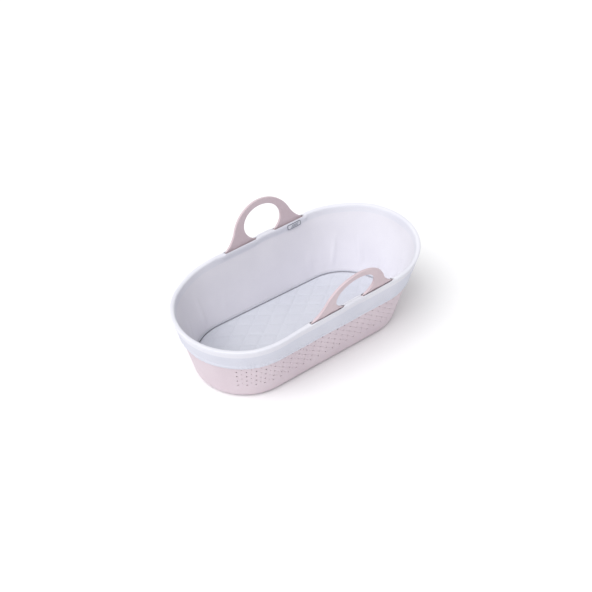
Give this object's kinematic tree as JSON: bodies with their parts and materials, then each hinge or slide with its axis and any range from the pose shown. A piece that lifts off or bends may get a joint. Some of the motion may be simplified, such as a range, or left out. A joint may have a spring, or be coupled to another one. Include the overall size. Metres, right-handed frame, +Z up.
{
  "type": "moses basket",
  "caption": "Oval moulded baby basket with perforated sloping walls, a folded-over fabric liner, two upright arched side handles and a lift-out mattress.",
  "frame": {"origin": "on the base plane, under the middle of the basket's bounding box", "axes": "+X towards the head end, along the basket's length; +Y to the left; +Z up"},
  "size_m": [0.8405, 0.4822, 0.3766],
  "materials": {
    "shell": "soft-touch moulded plastic, dusty pink",
    "handle": "soft-touch moulded plastic, dusty pink",
    "liner": "brushed cotton jersey, white",
    "liner_rim": "padded cotton jersey, white",
    "liner_skirt": "cotton jersey, white",
    "elastic": "woven elastic",
    "binding": "woven cotton tape",
    "label": "woven satin tape",
    "foam": "open-cell foam",
    "mattress_cover": "quilted knitted polyester, white"
  },
  "bodies": {
    "basket": {"shell": "shell", "liner_floor": "liner", "liner_wall": "liner", "liner_rim": "liner_rim", "liner_skirt": "liner_skirt", "hem_casing": "liner_skirt", "hem_elastic": "elastic", "slit_binding_left": "binding", "slit_binding_right": "binding", "label": "label"},
    "mattress": {"mattress_core": "foam", "mattress_top_cover": "mattress_cover", "mattress_base_cover": "mattress_cover"},
    "handle_left": {"handle_left": "handle"},
    "handle_right": {"handle_right": "handle"}
  },
  "joints": [
    {"name": "mattress_lift", "type": "slide", "parent": "basket", "child": "mattress", "axis": [0, 0, 1], "range_m": [0, 0.42]},
    {"name": "handle_left_flex", "type": "hinge", "parent": "basket", "child": "handle_left", "pos_m": [0.029, 0.2105, 0.24451], "axis": [0.9994, 0.0079, 0.0349], "range_deg": [-8, 15], "stiffness_Nm_per_rad": 5},
    {"name": "handle_right_flex", "type": "hinge", "parent": "basket", "child": "handle_right", "pos_m": [0.029, -0.2105, 0.24451], "axis": [-0.9994, 0.0079, -0.0349], "range_deg": [-8, 15], "stiffness_Nm_per_rad": 5}
  ]
}
